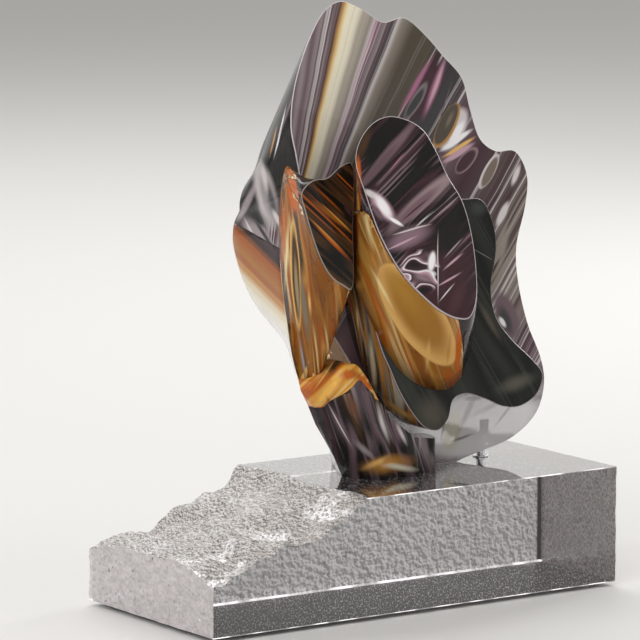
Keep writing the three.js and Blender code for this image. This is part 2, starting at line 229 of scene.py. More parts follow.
class Finish:
    """A material under construction: one Principled shader and whatever feeds it."""

    def __init__(self, name):
        self.material = bpy.data.materials.new(name)
        self.material.use_nodes = True
        self.tree = self.material.node_tree
        self.shader = self.tree.nodes["Principled BSDF"]
        self.output = self.tree.nodes["Material Output"]

    def node(self, kind, settings=None, output=0, **inputs):
        """Adds a node, sets it, plugs its inputs by name and returns one of its outputs."""
        made = self.tree.nodes.new(kind)
        for key, value in (settings or {}).items():
            setattr(made, key, value)
        for key, value in inputs.items():
            plug(self.tree, made.inputs[key.replace("_", " ")], value)
        return Wire(self.tree, made.outputs[output])

    def place(self):
        """Object coordinates, in metres."""
        return self.node("ShaderNodeTexCoord", output="Object")

    def axes(self, vector):
        split = self.tree.nodes.new("ShaderNodeSeparateXYZ")
        plug(self.tree, split.inputs[0], vector)
        return [Wire(self.tree, socket) for socket in split.outputs]

    def stretch(self, vector, scale):
        return self.node("ShaderNodeMapping", Vector=vector, Scale=scale)

    def grain(self, vector, scale, detail=3.0, roughness=0.55):
        return self.node(
            "ShaderNodeTexNoise", Vector=vector, Scale=scale, Detail=detail, Roughness=roughness)

    def swirl(self, vector, scale):
        """Three noises at once, as a vector."""
        return self.node("ShaderNodeTexNoise", output="Color", Vector=vector, Scale=scale, Detail=1)

    def cells(self, vector, scale, output=0):
        """Distance to the middle of the nearest cell, or the cell's own colour."""
        return self.node("ShaderNodeTexVoronoi", {"feature": "F1"}, output, Vector=vector, Scale=scale)

    def painted_raking_light(self, vector, scale, step):
        """Painted raking light over an uneven surface: about 0.5, and more or less on its slopes."""
        shifted = self.node("ShaderNodeMapping", Vector=vector, Location=(step, 0, step))
        slope = self.grain(vector, scale, detail=4.0) - self.grain(shifted, scale, detail=4.0)
        return 0.5 + slope * 6.5

    def join(self, x, y, z):
        return self.node("ShaderNodeCombineXYZ", X=x, Y=y, Z=z)

    def ramp(self, value, stops):
        """Colours at places from 0 to 1 along a value."""
        made = self.tree.nodes.new("ShaderNodeValToRGB")
        band = made.color_ramp
        while len(band.elements) < len(stops):
            band.elements.new(0.5)
        for element, (place, colour) in zip(band.elements, stops):
            element.position = place
            element.color = (*colour, 1)
        plug(self.tree, made.inputs[0], value)
        return Wire(self.tree, made.outputs[0])

    def blend(self, factor, first, second, kind="MIX"):
        """Mixes two colours."""
        made = self.tree.nodes.new("ShaderNodeMix")
        made.data_type = "RGBA"
        made.blend_type = kind
        for socket, value in ((made.inputs[0], factor), (made.inputs[6], first), (made.inputs[7], second)):
            plug(self.tree, socket, (*value, 1) if isinstance(value, tuple) and len(value) == 3 else value)
        return Wire(self.tree, made.outputs[2])

    def spot(self, place, sway):
        """Millimetres to the right and upward as seen from the front left, a little wavy."""
        right = self.along(place, PICTURE_RIGHT) * (1 / MM) - PICTURE_MIDDLE[0]
        up = self.along(place, PICTURE_UP) * (1 / MM) - PICTURE_MIDDLE[1]
        centred = self.lean(self.swirl(place, 30), (1, 1, 1), (-0.5, -0.5, -0.5))
        return self.lean(centred, (sway, sway, 0), self.join(right, up, 0.0))

    def lean(self, vector, amount, start):
        """A vector times an amount, added to another vector."""
        made = self.node("ShaderNodeVectorMath", {"operation": "MULTIPLY_ADD"})
        for socket, value in zip(made.socket.node.inputs, (vector, amount, start)):
            plug(self.tree, socket, value)
        return made

    def swept(self, spot, tilt, width, length):
        """Coordinates drawn out into streaks, leaning clockwise from the upright."""
        return self.node(
            "ShaderNodeMapping", {"vector_type": "TEXTURE"}, Vector=spot,
            Rotation=(0, 0, -math.radians(tilt)), Scale=(width, length, 1))

    def leaves(self, spot, colour, marks):
        """Lays soft leaf shapes over a colour: colours of the glass, and among them painted highlights,
        painted reflections and painted shade; also gives how much they cover.
        """
        cover = None
        for right, up, length, width, tilt, soft, shade in marks:
            local = self.node(
                "ShaderNodeMapping", {"vector_type": "TEXTURE"}, Vector=spot, Location=(right, up, 0),
                Rotation=(0, 0, -math.radians(tilt)), Scale=(width, length, 1))
            size = self.node("ShaderNodeVectorMath", {"operation": "LENGTH"}, "Value", Vector=local)
            leaf = 1 - size.step(1 - soft, 1)
            colour = self.blend(leaf, colour, shade)
            cover = leaf if cover is None else cover.most(leaf)
        return colour, cover

    def mark(self, name):
        return self.node("ShaderNodeAttribute", {"attribute_name": name}, output="Fac")

    def line_with(self, colour, factor, roughness=0.3, gloss=0.5, painted_glow=None):
        """Lays an interlayer of its own colour over part of the glass, with a painted glow when one is given.
        """
        film = self.tree.nodes.new("ShaderNodeBsdfPrincipled")
        film.inputs["Specular IOR Level"].default_value = gloss
        plug(self.tree, film.inputs["Base Color"], colour)
        film.inputs["Roughness"].default_value = roughness
        # A painted glow: the interlayer gives off light though it is no lamp
        if painted_glow is not None:
            plug(self.tree, film.inputs["Emission Color"], painted_glow)
            film.inputs["Emission Strength"].default_value = 0.8
        both = self.tree.nodes.new("ShaderNodeMixShader")
        plug(self.tree, both.inputs[0], factor)
        self.tree.links.new(self.shader.outputs[0], both.inputs[1])
        self.tree.links.new(film.outputs[0], both.inputs[2])
        self.tree.links.new(both.outputs[0], self.output.inputs["Surface"])

    def lay(self, factor, colour, roughness, metallic=0.0):
        """Lays a plain surface over part of what is there."""
        surface = self.tree.nodes.new("ShaderNodeBsdfPrincipled")
        surface.inputs["Base Color"].default_value = (*colour, 1)
        surface.inputs["Roughness"].default_value = roughness
        surface.inputs["Metallic"].default_value = metallic
        both = self.tree.nodes.new("ShaderNodeMixShader")
        plug(self.tree, both.inputs[0], factor)
        self.tree.links.new(self.output.inputs["Surface"].links[0].from_socket, both.inputs[1])
        self.tree.links.new(surface.outputs[0], both.inputs[2])
        self.tree.links.new(both.outputs[0], self.output.inputs["Surface"])

    def rim_with(self, colour):
        """Lays a finely ground edge over the faces marked as rim; its colour is also a painted highlight
        along the rim.
        """
        self.lay(self.mark("rim"), colour, 0.35)

    def bump(self, height, distance, strength=1.0):
        return self.node("ShaderNodeBump", Height=height, Distance=distance, Strength=strength)

    def along(self, vector, direction):
        """How far a place lies along a direction."""
        made = self.tree.nodes.new("ShaderNodeVectorMath")
        made.operation = "DOT_PRODUCT"
        plug(self.tree, made.inputs[0], vector)
        made.inputs[1].default_value = direction
        return Wire(self.tree, made.outputs["Value"])

    def set(self, **inputs):
        for key, value in inputs.items():
            plug(self.tree, self.shader.inputs[key.replace("_", " ")], value)

    def clear(self, index, normal, roughness=0.0):
        """Clear glass, which the film and the absorption then colour."""
        self.set(
            Base_Color=(1, 1, 1, 1), Roughness=roughness, IOR=index, Transmission_Weight=1, Normal=normal)

    def fill(self, colour, density):
        """Plain absorption inside the glass."""
        inside = self.tree.nodes.new("ShaderNodeVolumeAbsorption")
        inside.inputs["Color"].default_value = (*colour, 1)
        inside.inputs["Density"].default_value = density
        self.tree.links.new(inside.outputs[0], self.output.inputs["Volume"])


BLACK = (0.008, 0.008, 0.007)
CREAM = (0.95, 0.88, 0.68)
PEARL = (0.7, 0.64, 0.64)
SILVER = (0.36, 0.3, 0.31)
STONE = (0.3, 0.26, 0.22)
TAUPE = (0.2, 0.15, 0.12)
MAUVE = (0.17, 0.11, 0.13)
ROSE = (0.42, 0.16, 0.26)
BLUSH = (0.6, 0.38, 0.46)
PLUM = (0.06, 0.025, 0.035)
SOOT = (0.014, 0.012, 0.012)
GOLD = (0.6, 0.28, 0.06)
HONEY = (0.85, 0.5, 0.16)
BUTTER = (1.0, 0.78, 0.38)
FLAME = (0.6, 0.13, 0.01)
EMBER = (0.32, 0.1, 0.012)
RUST = (0.4, 0.1, 0.012)
UMBER = (0.07, 0.035, 0.015)
OLIVE = (0.09, 0.075, 0.055)
CHARCOAL = (0.018, 0.02, 0.016)
SHADOW = (0.05, 0.048, 0.05)
GREY = (0.22, 0.21, 0.22)
LILAC = (0.52, 0.47, 0.5)
WHITE = (1.0, 0.97, 0.98)

# Two ways square to the line of sight from the front left, and where both measure 0, in mm.
# The streaks and leaves of the glass are laid out along them.
PICTURE_RIGHT = (0.8235, -0.5673, 0)
PICTURE_UP = (0.0834, 0.121, 0.989)
PICTURE_MIDDLE = (-21.7, 173.0)

# The shell's bands fan out from a focus, by their angle from the upright in degrees. From the
# last angle of the fan on they run side by side, a millimetre counting for a share of a degree.
FAN_FOCUS = (-36.6, -28.5)
FAN_END = 28.7
FAN_SHARE = 0.33
SHELL_BANDS = (
    (3, SILVER), (6, PLUM), (7.2, MAUVE), (8.2, SILVER), (9.2, MAUVE), (10.4, SILVER), (11.3, PEARL),
    (11.9, MAUVE), (12.7, TAUPE), (13.1, GOLD), (13.5, BUTTER), (14, CREAM), (15.3, CREAM),
    (16.2, (0.52, 0.46, 0.38)), (17.9, STONE), (18.2, PEARL), (18.6, ROSE), (19.2, MAUVE), (20.4, SILVER),
    (21.2, SOOT), (21.6, PEARL), (22.3, STONE), (24.4, OLIVE), (27.8, OLIVE), (30, SHADOW), (36, SHADOW),
    (41, MAUVE), (47, PLUM), (56, (0.12, 0.09, 0.08)), (64, STONE), (76, MAUVE), (90, SILVER),
)
FAN_SPAN = 90

# Leaves of glass as [right, up, half length, half width, tilt from the upright, softness, colour];
# many of them are painted highlights, painted reflections and painted shade
SHELL_LEAVES = (
    (65, 143, 27, 8, 27, 0.4, PLUM), (60, 147, 28, 2.6, 30, 0.8, ROSE),
    (71.5, 145, 26, 3.4, 21, 0.8, ROSE), (72.5, 147, 22, 1.8, 21, 0.8, BLUSH),
    (59.4, 136, 16, 3.6, 30, 0.4, SILVER), (59, 135.4, 15.4, 3.2, 31, 0.5, SHADOW),
    (78, 134.5, 19, 0.5, 17, 0.6, MAUVE), (84.3, 120, 17, 8, 28, 0.3, PEARL),
    (86, 117, 12, 3, 32, 0.5, WHITE), (80, 122, 17, 5.8, 27, 0.15, (0.5, 0.26, 0.08)),
    (79.6, 123, 16, 5, 27, 0.2, OLIVE), (81.5, 126, 8, 2, 25, 0.8, TAUPE),
    (86, 113, 15, 2.2, 55, 0.5, WHITE), (87.6, 108.6, 15, 1.7, 57, 0.5, HONEY),
    (87, 104.8, 15, 2.4, 57, 0.5, BLUSH), (92.4, 100.4, 11.5, 4.6, 40, 0.15, (0.3, 0.2, 0.22)),
    (92, 100, 10.8, 4, 41, 0.3, PLUM), (107, 94, 13.4, 3.8, 28, 0.15, PEARL),
    (107.4, 93.6, 12.6, 3.2, 27, 0.3, TAUPE), (124.6, 92, 9, 2.4, 20, 0.6, PEARL),
    (120, 78, 12, 1.6, 28, 0.7, PLUM), (116, 67, 11, 3, 27, 0.5, PEARL), (110, 75, 14, 1.4, 30, 0.6, PLUM),
    (114, 43, 24, 5, 14, 0.7, STONE), (109, 30, 14, 1.2, 30, 0.6, PLUM), (119, 3, 19, 8, -20, 0.4, MAUVE),
    (118, 0, 13, 5, -20, 0.7, SHADOW), (116, -1.5, 5, 2, -30, 0.6, WHITE),
    (100, -66, 46, 23, 76, 0.3, WHITE), (104, -63, 17, 13, 25, 0.5, WHITE),
    (84, -70, 17, 7, 8, 0.5, CREAM), (94, -58, 20, 3, 24, 0.95, SILVER),
    (112, -53, 24, 3, 62, 0.95, LILAC), (128, -48, 15, 4, 40, 0.7, WHITE),
    (78.5, -64, 17, 1.6, 6, 0.9, STONE), (90, -75, 12, 1.6, 70, 0.9, STONE),
    (118, -60, 14, 1.6, 40, 0.9, SILVER), (98, -50, 8, 2.4, 85, 0.9, MAUVE),
)
WALL_LEAVES = (
    (-30, 112, 76, 28, 22, 0.2, SOOT), (-24.8, 116, 19, 0.8, 14, 0.6, WHITE),
    (-29, 111, 12, 0.6, 13, 0.6, GOLD), (-20, 128, 22, 1.2, 20, 0.8, MAUVE),
    (-46, 73, 20, 3, 28, 0.7, SILVER), (-37, 48, 24, 8, -35, 0.5, SILVER),
    (-34, 52, 18, 1.4, -32, 0.7, SHADOW), (-42, 54, 14, 1.2, -28, 0.7, PEARL),
    (-34, 78, 27, 8, -13, 0.6, PEARL), (-33, 76, 24, 5.6, -15, 0.7, (0.36, 0.33, 0.33)),
    (-30, 74, 19, 4, -14, 0.95, SHADOW), (-34.6, 88, 14, 2.4, -9, 0.9, PEARL),
    (-26.4, 62, 9, 2.2, -28, 0.7, PEARL), (-38, 66, 14, 1, -25, 0.6, SHADOW),
    (-38, 45, 25, 3, -41, 0.5, PLUM),
)
PLUM_SHADE = ((74, 18.6, 42, 32, 0, 0.7, (0.055, 0.02, 0.024)),)
CENTRE_LEAVES = (
    (35, 102, 28, 13, 18, 0.8, BLACK), (26.7, 106.6, 17, 4, 20, 0.9, UMBER),
    (22, 72, 30, 3.6, 2, 0.3, FLAME), (23.6, 70, 24, 0.9, -3, 0.7, HONEY),
    (42, 101.7, 40, 4, 40, 0.7, (0.2, 0.13, 0.15)), (36, 94, 26, 3, 40, 0.7, (0.14, 0.085, 0.1)),
    (46.5, 96, 9, 0.5, 39, 0.6, ROSE), (53, 95, 7, 0.4, 41, 0.6, MAUVE),
    (64, 74, 38, 6, 48, 0.6, (0.36, 0.26, 0.27)), (58, 68, 28, 4.4, 48, 0.6, (0.2, 0.12, 0.14)),
    (69.4, 66, 24, 0.8, 48, 0.6, PEARL), (65, 64, 18, 0.7, 50, 0.6, SOOT),
    (74, 70.5, 18, 1.2, 47, 0.7, SOOT), (76, 67.5, 18, 0.7, 47, 0.6, SILVER),
    (73, 64, 20, 0.6, 49, 0.6, MAUVE), (80.6, 50, 16, 9, 30, 0.7, SOOT), (58, 67, 14, 0.7, 50, 0.6, PLUM),
    (52, 76, 14, 0.6, 44, 0.6, PLUM), (54, 50, 20, 8, 68, 0.7, (0.26, 0.16, 0.2)),
    (56, 55, 15, 0.7, 75, 0.6, PEARL), (50, 47, 13, 0.9, 66, 0.6, BLUSH), (60, 45, 12, 1.4, 70, 0.7, PLUM),
    (38, 69, 14, 5.6, -38, 0.6, BLUSH), (31, 76.5, 6, 2.6, -60, 0.6, PEARL),
    (38.5, 69, 11, 3.6, -33, 0.6, WHITE), (35, 65.5, 8, 2.6, -35, 0.7, MAUVE),
    (46, 60, 7, 1.6, -58, 0.6, WHITE), (68.8, 36, 8, 3.4, 10, 0.6, PEARL),
    (68.8, 36, 7, 2.2, 10, 0.4, WHITE), (72.5, 32, 26, 0.5, 0, 0.6, PEARL), (76, 26, 20, 3, 2, 0.8, PLUM),
    (84, 12, 16, 6, 20, 0.9, (0.075, 0.032, 0.038)), (82, 36, 10, 1, 50, 0.7, BLUSH),
    (79.4, 25, 11, 0.9, 60, 0.7, BLUSH), (78, 17, 9, 0.6, 40, 0.6, PEARL),
    (82, 44, 10, 0.7, 42, 0.6, SILVER),
)
LEFT_LEAVES = (
    (7.6, 90, 9, 4, 60, 0.9, SHADOW), (11, 38, 17, 9, -35, 0.9, BLACK), (6, 64, 20, 2.4, -52, 0.95, EMBER),
    (6.8, 48.4, 21, 1.8, -45, 0.9, FLAME), (10.5, 62, 16, 0.7, -47, 0.7, GOLD),
    (3, 53, 16, 0.7, -46, 0.7, GOLD), (17, 67, 6, 1.5, -35, 0.8, PLUM),
    (-17, 80, 18, 4.2, -10, 0.4, FLAME),
)
MIDDLE_LEAVES = (
    (70, -59, 18, 13, -20, 0.95, (0.08, 0.07, 0.055)), (124, -40, 18, 7, 72, 0.95, (0.1, 0.095, 0.075)),
    (99, 70, 7, 8, 0, 0.9, (0.05, 0.055, 0.05)), (102, 41, 9, 0.3, -60, 0.5, GREY),
    (106, 0, 20, 3, -30, 0.9, OLIVE),
)
CENTRE_SIDE_LEAVES = (
    (60, 3, 39, 15, -36, 0.06, HONEY), (60.6, 3.8, 38.4, 14.4, -36, 0.5, (0.42, 0.19, 0.028)),
    (50, 18, 30, 9, -38, 1.0, (0.5, 0.25, 0.04)), (21.6, 60, 44, 3, 0, 0.6, FLAME),
    (29, 59, 23, 2.2, -12, 0.9, BUTTER), (37.8, 19.8, 20, 1.6, -29, 0.9, BUTTER),
    (33, 36, 16, 2.6, -20, 0.9, GOLD), (86, -17, 28, 2.6, 3, 0.7, FLAME), (67, -22, 13, 2, 4, 0.9, HONEY),
    (80, -18, 13, 1.6, 6, 0.9, GOLD), (91.8, -12.4, 21, 1.5, 2, 0.5, PLUM),
)
LEFT_SIDE_LEAVES = (
    (1.2, 28, 28, 8, -8, 0.8, (0.26, 0.085, 0.01)), (-17, 80, 18, 4.2, -10, 0.4, FLAME),
    (-22.3, 52.7, 32, 1.8, 3, 0.7, FLAME), (-20.3, 39.7, 30, 1.4, 3, 0.9, BUTTER),
    (-14.8, 28, 37, 3.2, -3, 0.15, HONEY), (-14.6, 27, 36, 2.7, -3, 0.4, UMBER),
    (-14, 20, 26, 1.6, -4, 0.7, (0.36, 0.27, 0.15)), (-9.3, 7.4, 28, 2.8, -6, 0.7, (0.22, 0.18, 0.12)),
    (-6.2, 10.5, 12, 1.4, -4, 0.9, HONEY), (-10.5, -25, 17, 1.2, -10, 0.8, SILVER),
    (-6, 62, 16, 1.6, -12, 0.9, HONEY),
)
MIDDLE_SIDE_LEAVES = (
    (18, 12, 14, 1.3, -12, 0.7, FLAME), (23.5, 1.2, 11, 1, -5, 0.7, BUTTER),
    (28.5, -26, 25, 1.5, -6, 0.7, UMBER), (33, -28, 25, 2.5, -5, 0.7, (0.75, 0.68, 0.48)),
    (38, -30, 22, 1.6, -8, 0.8, GOLD), (48.4, -56, 15, 3, -55, 0.7, HONEY),
)
# Among the foot's leaves are painted highlight lines, and lowest a painted pool of gold light
FOOT_LEAVES = (
    (20, -53, 15, 5, -25, 0.95, (0.17, 0.07, 0.035)), (13, -66, 20, 3.4, -28, 0.9, MAUVE),
    (12.4, -65, 18, 0.6, -28, 0.6, PEARL), (27, -80, 12, 3, -48, 0.9, SILVER),
    (30, -66, 16, 3.6, -20, 0.9, BLACK), (39, -64, 17, 2.4, -16, 0.9, PEARL),
    (3, -74, 13, 1.2, -23, 0.9, SILVER), (48, -68, 15, 4, -10, 0.8, MAUVE),
    (51, -71, 10, 2, -24, 0.9, PEARL), (69.4, -71, 18, 3.4, 0, 0.5, SOOT),
    (62.6, -74, 13, 1.2, 0, 0.8, SILVER), (42, -90, 22, 8, 84, 0.9, GOLD),
    (34, -89, 12, 3, 66, 0.9, HONEY), (50, -92, 15, 3, 98, 0.9, CREAM),
)
CAP_LEAVES = (
    (5, -44, 18, 5, 41, 0.7, (1.0, 0.56, 0.12)), (18, -34, 8, 4.4, 88, 0.7, FLAME),
    (28, -40, 12, 3, -38, 0.7, FLAME), (-2.5, -59, 7, 3.4, 40, 0.8, EMBER),
    (10, -27, 14, 4, 38, 0.8, UMBER), (5, -31, 19, 0.5, 35, 0.5, HONEY),
    (20, -20, 6, 0.5, -60, 0.5, HONEY),
)

# Way across the flank's streaks, and where along it they begin and end
FLANK_WAY = (-0.635, 0.312, -0.692)
FLANK_REACH = (-0.118, -0.078)


# Where the looks of the base change over, as [from, to] along an axis; among them are the painted dark line
# of shade down the back right corner, the painted highlight low at the back and the back wall's painted glow
PATCHES_Y = (-50 * MM, -5 * MM)
RIGHT_END_X = (145 * MM, 150 * MM)
SHADED_CORNER_X = (149.5 * MM, 150.5 * MM)
SHADED_CORNER_Y = (67 * MM, 68 * MM)
BACK_HIGHLIGHT_Y = (66 * MM, 67 * MM)
BACK_HIGHLIGHT_Z = (3.9 * MM, 4.2 * MM)
GLOWING_BACK_WALL_Y = (66 * MM, 68 * MM)


def shell_glass(name, tint, density, settings):
    """Fluted glass of the shell, with bands of colour that fan out and leaves between them, many of those
    painted highlights, reflections and shade.
    """
    finish = Finish(name)
    place = finish.place()
    spot = finish.spot(place, 2.4)
    right, up, _ = finish.axes(spot)
    across = right - FAN_FOCUS[0]
    height = up - FAN_FOCUS[1]
    end = math.radians(FAN_END)
    fan = across.turn(height) * (180 / math.pi)
    beyond = across * math.cos(end) - height * math.sin(end)
    fan_part = fan.maths("MINIMUM", fan, FAN_END)
    angle = fan_part + beyond.most(0) * FAN_SHARE
    reach = (across * across + height * height) ** 0.5
    wander = finish.grain(finish.join(angle * 0.05, reach * 0.007, 0.5), 1.0, detail=1.0) - 0.5
    bent = angle + wander * 0.6
    bands = finish.ramp(bent * (1 / FAN_SPAN), [(place / FAN_SPAN, shade) for place, shade in SHELL_BANDS])
    lines = finish.grain(finish.join(bent * 1.6, reach * 0.002, 1.3), 1.0, detail=2.0, roughness=0.6)
    bundle = finish.grain(finish.join(bent * 0.22, reach * 0.002, 3.7), 1.0, detail=0.0).step(0.42, 0.56)
    cream_band = angle.step(12.4, 12.8) - angle.step(17.8, 18.2)
    smooth_bands = cream_band + (angle.step(22, 23) - angle.step(27, 29))
    drawn = bundle * (1 - smooth_bands * 0.85)
    dark_lines = lines.step(0.52, 0.6) * drawn
    light_lines = (1 - lines).step(0.56, 0.62) * drawn
    streaked = finish.blend(dark_lines * 0.8, finish.blend(light_lines * 0.75, bands, PEARL), PLUM)
    side = finish.mark("side")
    faced, _ = finish.leaves(spot, streaked, SHELL_LEAVES)
    walled, _ = finish.leaves(spot, streaked, WALL_LEAVES)
    colour = finish.blend(side, faced, walled)
    finish.clear(settings.refraction, finish.bump(lines * bundle * side, 0.6 * MM, 0.5))
    clear = 1 - up.step(-55, -25)
    films = finish.mark("face") * settings.face_film + side * settings.shell_film
    finish.line_with(colour, films * (1 - clear * 0.5), roughness=0.06, gloss=0.25)
    finish.rim_with(PEARL)
    finish.fill(tint, density)
    return finish.material


def flank_glass(name, tint, density, settings):
    """Amber flank of the shell, which pales from flame to cream toward its foot, ending in a painted white
    highlight.
    """
    finish = Finish(name)
    place = finish.place()
    down = finish.along(place, FLANK_WAY)
    lines = finish.grain(finish.stretch(finish.join(down, 0.0, 0.0), (420, 1, 1)), 1.0, detail=2.0)
    low, high = FLANK_REACH
    share = (down - low) * (1 / (high - low)) + (lines - 0.5) * 0.22
    colour = finish.ramp(share, [
        (0.05, PLUM), (0.15, SOOT), (0.26, RUST), (0.42, (0.45, 0.18, 0.03)), (0.5, RUST),
        (0.58, GOLD), (0.72, CREAM), (0.9, WHITE)])
    finish.clear(settings.refraction, finish.bump(lines, 0.6 * MM, 0.4))
    finish.line_with(colour, finish.mark("side") * settings.shell_film, roughness=0.06)
    finish.rim_with(CREAM)
    finish.fill(tint, density)
    return finish.material


def crumpled_reflection(finish, spot, colour):
    """Lays a painted crumpled reflection over the centre petal's face."""
    right, up, _ = finish.axes(spot)
    folds = finish.node(
        "ShaderNodeTexNoise", Vector=finish.stretch(spot, (0.05, 0.075, 1)), Scale=1.0, Detail=0.0,
        Distortion=1.1)
    painted_reflection = finish.ramp(folds, [
        (0.25, SOOT), (0.36, PLUM), (0.41, BLUSH), (0.43, WHITE), (0.45, PLUM), (0.5, MAUVE), (0.55, BLUSH),
        (0.57, WHITE), (0.6, PLUM), (0.68, SOOT), (0.74, BLUSH), (0.8, PLUM)])
    reach = ((right - 61) * (1 / 14)) ** 2 + ((up - 29) * (1 / 15)) ** 2
    return finish.blend(1 - reach.step(0.6, 1.0), colour, painted_reflection)


def petal_glass(name, tint, density, settings, look):
    """Glass of a petal: streaks under its polished face, leaves on its sides with painted highlights and
    reflections among them, and an interlayer.
    """
    finish = Finish(name)
    place = finish.place()
    x, _, z = finish.axes(place)
    drift = finish.grain(place, 10, detail=0.0) * 0.012
    run = finish.along(place, look["way"]) + drift
    fineness = look["fineness"]
    wide = finish.grain(finish.join(run * fineness, z * 1.5, x * 1.5), 1.0, detail=1.0)
    thin = finish.grain(finish.join(run * fineness * 7, z * 3, x * 3), 1.0, detail=1.0)
    count = len(look["shades"]) - 1
    streaks = finish.ramp(wide * 0.75 + thin * 0.25, [
        (0.32 + 0.36 * place / count, shade) for place, shade in enumerate(look["shades"])])
    spot = finish.spot(place, look["sway"])
    face = finish.mark("face")
    side = finish.mark("side")
    bonded = finish.mark("film")
    sweep = finish.grain(finish.swept(spot, look["tilt"], look["breadth"], 120), 1.0, detail=1.0)
    threads = finish.grain(finish.swept(spot, look["tilt"], 1.8, 150), 1.0, detail=0.0).step(0.54, 0.64)
    bunches = finish.grain(finish.swept(spot, look["tilt"], 14, 60), 1.0, detail=0.0).step(0.48, 0.6)
    last = len(look["grounds"]) - 1
    ground = finish.ramp(sweep, [
        (0.34 + 0.32 * place / last, shade) for place, shade in enumerate(look["grounds"])])
    ground = finish.blend(threads * bunches * 0.6, ground, look["thread"])
    # The centre petal gets a painted crumpled reflection over a broad dark plum zone
    if look.get("crumpled"):
        ground = crumpled_reflection(finish, spot, finish.leaves(spot, ground, PLUM_SHADE)[0])
    painted, leaf_cover = finish.leaves(spot, ground, look["leaves"])
    on_sides = (leaf_cover * settings.mark_film).most(look["solid"])
    cover = face * settings.face_film + side * on_sides + bonded * settings.film_opacity
    finish.clear(settings.refraction, finish.bump(wide, 0.5 * MM, 0.4))
    finish.line_with(finish.blend(bonded, painted, streaks), cover, roughness=0.05, gloss=0.15)
    finish.rim_with(look["rim"])
    finish.fill(tint, density)
    return finish.material


